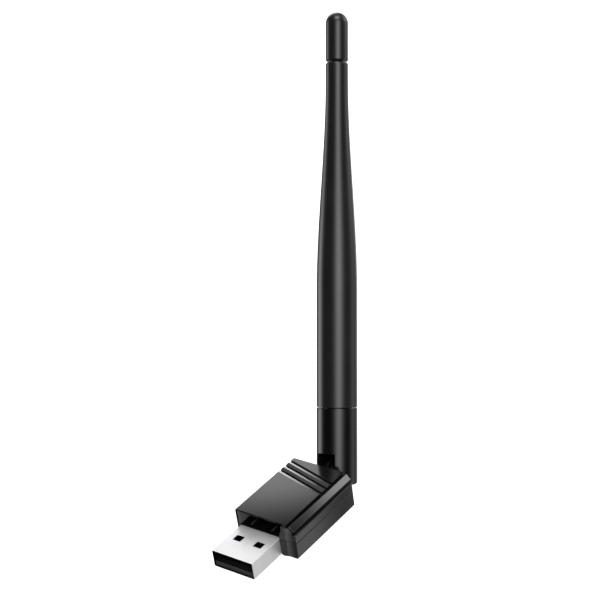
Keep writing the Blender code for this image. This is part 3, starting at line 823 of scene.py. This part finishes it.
# ---------------------------------------------------------------- swivel
def swivel_spindle():
    clip_front, clip_rear = CLIP_Y[0] - 0.1, CLIP_Y[1] + 0.1
    front, rear = FLANGE
    profile = [(0, SPINDLE_FRONT), (SPINDLE_R - 0.2, SPINDLE_FRONT),
               (SPINDLE_R, SPINDLE_FRONT + 0.2), (SPINDLE_R, clip_front),
               (CLIP_GROOVE_R, clip_front), (CLIP_GROOVE_R, clip_rear),
               (SPINDLE_R, clip_rear), (SPINDLE_R, front)]
    profile += [(FLANGE_R - 0.12, front), (FLANGE_R, front + 0.12)]
    profile += arc((FLANGE_R - 0.25, rear - 0.25), 0.25, 0, 90, 5)
    profile += [(0, rear)]
    shape = lathe(profile, 64, "Y")
    side = [(TONGUE_ROOT, -EYE_R), *arc((PIN_AT[1], 0), EYE_R, -90, 90, 28),
            (TONGUE_ROOT, EYE_R)]
    half = SLOT_W / 2 - 0.3
    tongue = prism(side, "X", -half, half)
    round_edges(tongue, 0.18, 3, 50)
    shape = combine(shape, [tongue], "UNION")
    bore = COAX_R + 0.2
    window_front, window_rear = FLANGE[1] + 0.4, PIN_AT[1] - 2.3
    window = rounded([(-bore, window_front), (bore, window_front), (bore, window_rear),
                      (-bore, window_rear)], (0.25,) * 4, 4)
    return combine(shape, [rod(PIN_R + 0.2, -6, 6, "X", (0, PIN_AT[1], 0)),
                           rod(bore, SPINDLE_FRONT - 1, window_rear - 1, "Y", sides=24),
                           prism(window, "Z", 0, EYE_R + 1)])


def coax_through_spindle():
    """The cable up the spindle's bore, out of its window and over the tongue."""
    over = EYE_R + 0.1 + COAX_R
    return swept(COAX_R, [(0, SPINDLE_FRONT - 0.8, 0), (0, 22, 0), (0, 24.4, 0), (0, 25.6, 0.05),
                          (0, 26.3, 0.4), (0, 26.8, 1.1), (0, 27.3, 1.9),
                          (0, 28.0, over - 0.05), (0, 29.2, over)])


def swept(radius, points, sides=20, between=6):
    """A round cable through points, on a smooth curve, with rounded ends."""
    points = [Vector(point) for point in points]
    line = []
    for place in range(len(points) - 1):
        a = points[max(place - 1, 0)]
        b, c = points[place], points[place + 1]
        d = points[min(place + 2, len(points) - 1)]
        for step in range(between):
            t = step / between
            line.append(0.5 * ((2 * b) + (c - a) * t + (2 * a - 5 * b + 4 * c - d) * t * t
                               + (3 * b - a - 3 * c + d) * t ** 3))
    line.append(points[-1])
    shape = bmesh.new()
    rings = []
    last = len(line) - 1
    for place, spot in enumerate(line):
        ahead = (line[min(place + 1, last)] - line[max(place - 1, 0)]).normalized()
        side = Vector((1, 0, 0)) - ahead * ahead.x
        side.normalize()
        up = ahead.cross(side)
        ring = []
        for number in range(sides):
            angle = 2 * math.pi * number / sides
            out = side * math.cos(angle) + up * math.sin(angle)
            ring.append(shape.verts.new(spot + out * radius))
        rings.append(ring)
    for one, two in zip(rings, rings[1:]):
        for number in range(sides):
            following = (number + 1) % sides
            shape.faces.new((one[number], one[following], two[following], two[number]))
    shape.faces.new(rings[0])
    shape.faces.new(rings[-1])
    bmesh.ops.recalc_face_normals(shape, faces=shape.faces)
    round_edges(shape, 0.06, 2, 60)
    return shape


# --------------------------------------------------------------- antenna
def knuckle():
    """The forked sleeve: a round top and an end rounded off towards the ears."""
    sides, power, squareness, edge = 160, 50, 2.6, 0.6
    heights = [KNUCKLE_END * -math.cos(math.radians(angle)) for angle in range(4, 92, 4)]
    heights += [2.0, 6.0, 10.0, SEAM - 0.2]
    rings = []
    for height in heights:
        limit = 1e9
        if height < 0:
            share = 1 - (-height / KNUCKLE_END) ** squareness
            limit = WHIP_R * max(share, 1e-6) ** (1 / squareness)
        depth = height + KNUCKLE_END
        radius = WHIP_R - (edge - math.sqrt(max(edge ** 2 - (edge - depth) ** 2, 0))
                           if depth < edge else 0)
        ring = []
        for side in range(sides):
            angle = 2 * math.pi * side / sides
            reach = (radius ** -power + (abs(math.sin(angle)) / limit) ** power) ** (-1 / power)
            ring.append((reach * math.cos(angle), reach * math.sin(angle), height))
        rings.append(ring)
    for radius, height in [(WHIP_R - 0.06, SEAM - 0.06), (WHIP_R - 0.2, SEAM),
                           (SPIGOT[0], SEAM), (SPIGOT[0], SPIGOT[1] - 0.3),
                           (SPIGOT[0] - 0.3, SPIGOT[1])]:
        rings.append([(x, y, height) for x, y in arc((0, 0), radius, 0, 360, sides)[:-1]])
    shape = bmesh.new()
    loops = [[shape.verts.new(spot) for spot in ring] for ring in rings]
    for one, two in zip(loops, loops[1:]):
        for side in range(sides):
            following = (side + 1) % sides
            shape.faces.new((one[side], one[following], two[following], two[side]))
    shape.faces.new(loops[0])
    shape.faces.new(loops[-1])
    bmesh.ops.recalc_face_normals(shape, faces=shape.faces)
    half = SLOT_W / 2
    shape = combine(shape, [block((-half, -8, -8), (half, SLOT_TOP, SLOT_TOP))])
    round_edges(shape, 0.12, 3, 55, lambda spot: spot.z < SLOT_TOP + 1)
    shape = combine(shape, [rod(PIN_R + 0.1, -8, WHIP_R - EAR_SKIN, "X"),
                            rod(COAX_R + 0.3, 0, SPIGOT[1] + 1, "Z", sides=24)])
    return accent(shape, 1, lambda spot, way: abs(spot.x) < half + 0.05 and spot.z < SLOT_TOP + 0.1
                  and (abs(way.x) > 0.9 or way.z < -0.9) and spot.z > -KNUCKLE_END + 0.2)


def whip_radius(height):
    """The whip's outer radius at a height above the pin."""
    share = min(max((height - TAPER[0]) / (TAPER[1] - TAPER[0]), 0), 1)
    return WHIP_R + (TIP_R - WHIP_R) * share * share * (3 - 2 * share)


def antenna_sheath():
    notch, lip = TIP_NOTCH
    foot, top = SEAM + 0.15, TIP_SEAM - 0.1
    (bore_low, wide), (bore_high, narrow) = BORE
    profile = [(wide, foot), (WHIP_R - 0.12, foot), (WHIP_R - 0.03, foot + 0.03),
               (WHIP_R, foot + 0.12)]
    profile += [(whip_radius(height), height) for height in (20, 30, 38)]
    for step in range(41):
        height = TAPER[0] + (TAPER[1] - TAPER[0]) * step / 40
        profile.append((whip_radius(height), height))
    profile += [(TIP_R, top - lip - 0.1), (TIP_R - 0.03, top - lip + 0.03),
                (TIP_R - notch, top), (narrow, top), (narrow, bore_high), (wide, bore_low)]
    return lathe(profile, 128, "Z", closed=True)


def tip_cap():
    notch, lip = TIP_NOTCH
    plug_r, plug_length = TIP_PLUG
    foot = TIP_SEAM + 0.1
    profile = [(0, foot - plug_length), (plug_r - 0.15, foot - plug_length),
               (plug_r, foot - plug_length + 0.15), (plug_r, foot), (TIP_R - notch, foot),
               (TIP_R - 0.03, foot + lip - 0.03), (TIP_R, foot + lip + 0.1),
               (TIP_R, foot + 6)]
    profile += arc((0, WHIP_TOP - TIP_R), TIP_R, 0, 90, 20)[:-1]
    profile.append((0, WHIP_TOP))
    return lathe(profile, 96)


def build():
    piece("upper_housing", top_cover(), "housing", ["top_cover"],
          [GLOSS, LIGHT_PAINTED_WALL, SHADOWED, PILLAR_PAINTED_HIGHLIGHT, PAINTED_SLOPE_HIGHLIGHT, RIB_LOOK])
    piece("lower_housing", bottom_cover(), "housing",
          ["bottom_cover"], [SATIN, PILLAR_PAINTED_HIGHLIGHT])
    piece("chamfer_strip", trim_strip(), "housing",
          ["side_trim_strip"], [STRIP_LOOK])
    piece("plug_shell", usb_shell(), "housing", ["usb_shell"],
          [NICKEL, SHADOWED])
    piece("plug_tongue", usb_tongue(), "housing", ["usb_tongue"],
          [SHADOWED, INSULATOR])
    piece("plug_clamp", plug_holder(), "housing", ["plug_holder"],
          [SHADOWED, INSULATOR])
    for number in range(1, 5):
        node = "usb_contact_%d" % number
        piece("plug_contact_%d" % number, usb_contact(node), "housing",
              [node], [GOLD])
    piece("hinge_spindle", swivel_spindle(), "swivel",
          ["swivel_spindle"], [SHADOWED], SWIVEL)
    piece("hinge_cable", coax_through_spindle(), "swivel",
          ["coax_through_spindle"], [SHADOWED], SWIVEL)
    piece("fork_knuckle", knuckle(), "antenna", ["knuckle"],
          [KNUCKLE_LOOK, SHADOWED], ANTENNA)
    piece("fork_pin", rod(PIN_R, *PIN_X, "X", sides=48, edge=0.15), "antenna",
          ["hinge_pin"], [STEEL], ANTENNA)
    piece("whip_sheath", antenna_sheath(), "antenna", ["antenna_sheath"],
          [WHIP_LOOK], ANTENNA)
    piece("whip_tip", tip_cap(), "antenna", ["tip_cap"], [WHIP_LOOK],
          ANTENNA)


def finish_inner_parts():
    """Give each part inside the housing and the whip its material."""
    looks = {"circuit_board": BOARD, "wifi_chip": EPOXY, "clock_crystal": STEEL,
             "power_inductor": EPOXY, "bulk_capacitor": CERAMIC, "rf_filter": CERAMIC,
             "coax_lead": CABLE, "retaining_clip": STEEL, "coax_in_whip": CABLE,
             "dipole_sleeve": BRASS, "radiator_wire": BRASS, "lower_spacer": NATURAL,
             "upper_spacer": NATURAL}
    for node, look in looks.items():
        slots = frame["nodes"][node].material_slots
        for place in slots:
            place.material = look


# ---------------------------------------------------------------- studio
VIEW_AZIMUTH, VIEW_ELEVATION, VIEW_ROLL = 39.7, 27.0, -8.4   # degrees
VIEW_DISTANCE = 0.37
VIEW_AIM = (-9.4, 38.7, 43.6)   # the point in the middle of the picture, in millimetres


def camera():
    data = bpy.data.cameras.new("camera")
    data.lens = 90
    data.sensor_width = 36
    data.clip_start = 0.01
    data.clip_end = 20
    made = bpy.data.objects.new("camera", data)
    bpy.context.scene.collection.objects.link(made)
    turn = (Matrix.Rotation(math.radians(VIEW_AZIMUTH), 4, "Z")
            @ Matrix.Rotation(math.radians(90 - VIEW_ELEVATION), 4, "X")
            @ Matrix.Rotation(math.radians(VIEW_ROLL), 4, "Z"))
    made.matrix_world = (Matrix.Translation(Vector(VIEW_AIM) * MM) @ turn
                         @ Matrix.Translation((0, 0, VIEW_DISTANCE)))
    bpy.context.scene.camera = made


# The studio's soft lights: azimuth (0 is behind the object, 90 to its right),
# elevation, tightness, strength
GLOWS = [
    (90, 80, 20, 6.0),       # overhead, on all that faces up
    (130, 30, 15, 4.0),      # beside the camera, mirrored in the whip's middle
    (-105, -5, 20, 2.5),     # far left, mirrored in the whip's left side
    (-45, 30, 15, 2.0),      # behind on the left, mirrored in the top cover
    (-20, -15, 12, 3.0),     # behind and low, mirrored in the whip's right edge
    (30, 15, 15, 2.5),       # behind on the right, mirrored in the strip
    (60, -30, 20, 1.5),      # behind on the right and low, mirrored in the right side
]
AMBIENT = 0.03


def studio():
    """A surround of soft glows, seen only by the object, and a pale floor."""
    world = bpy.data.worlds.new("studio")
    bpy.context.scene.world = world
    world.use_nodes = True
    tree = world.node_tree
    tree.nodes.clear()

    def node(kind, inputs=(), **settings):
        made = tree.nodes.new(kind)
        for key, value in settings.items():
            setattr(made, key, value)
        for key, value in dict(inputs).items():
            if isinstance(value, bpy.types.NodeSocket):
                tree.links.new(value, made.inputs[key])
            else:
                made.inputs[key].default_value = value
        return made

    def sums(operation, one, two):
        return node("ShaderNodeMath", {0: one, 1: two}, operation=operation).outputs[0]

    spot = node("ShaderNodeTexCoord").outputs["Generated"]
    total = None
    for azimuth, elevation, tight, strength in GLOWS:
        turn, lift = math.radians(azimuth), math.radians(elevation)
        unit = Vector((math.sin(turn) * math.cos(lift), math.cos(turn) * math.cos(lift),
                       math.sin(lift)))
        dot = node("ShaderNodeVectorMath", {0: spot, 1: unit}, operation="DOT_PRODUCT")
        fall = sums("MULTIPLY", sums("SUBTRACT", dot.outputs["Value"], 1.0), tight)
        lobe = sums("MULTIPLY", sums("POWER", math.e, fall), strength)
        total = lobe if total is None else sums("ADD", total, lobe)
    total = sums("ADD", total, AMBIENT)
    light = node("ShaderNodeBackground", {"Color": (1, 1, 1, 1), "Strength": total})
    plain = node("ShaderNodeBackground", {"Color": (1, 1, 1, 1), "Strength": 1.0})
    path = node("ShaderNodeLightPath")
    both = node("ShaderNodeMixShader", {0: path.outputs["Is Camera Ray"],
                                        1: light.outputs[0], 2: plain.outputs[0]})
    out = node("ShaderNodeOutputWorld")
    tree.links.new(both.outputs[0], out.inputs[0])

    shape = bmesh.new()
    bmesh.ops.create_circle(shape, cap_ends=True, segments=64, radius=3.0)
    mesh = bpy.data.meshes.new("floor")
    shape.to_mesh(mesh)
    shape.free()
    floor = bpy.data.objects.new("floor", mesh)
    bpy.context.scene.collection.objects.link(floor)
    floor.location.z = CAD_BOX[0][2] - 0.0002
    look = Look("floor_look")
    cloud = look.noise(0.004, 2.0)
    look.feed("Base Color", look.mix(look.between(cloud, 0, 1), (0.93,) * 3, (0.95,) * 3))
    look.feed("Roughness", 0.9)
    look.feed("Emission Color", (1.0, 1.0, 1.0, 1.0))
    look.feed("Emission Strength", 0.85)
    mesh.materials.append(look.material)
    for kind in ("diffuse", "glossy", "transmission", "volume_scatter", "shadow"):
        setattr(floor, "visible_" + kind, False)


camera()
build()
finish_inner_parts()
studio()
bpy.context.scene.view_settings.view_transform = "Standard"
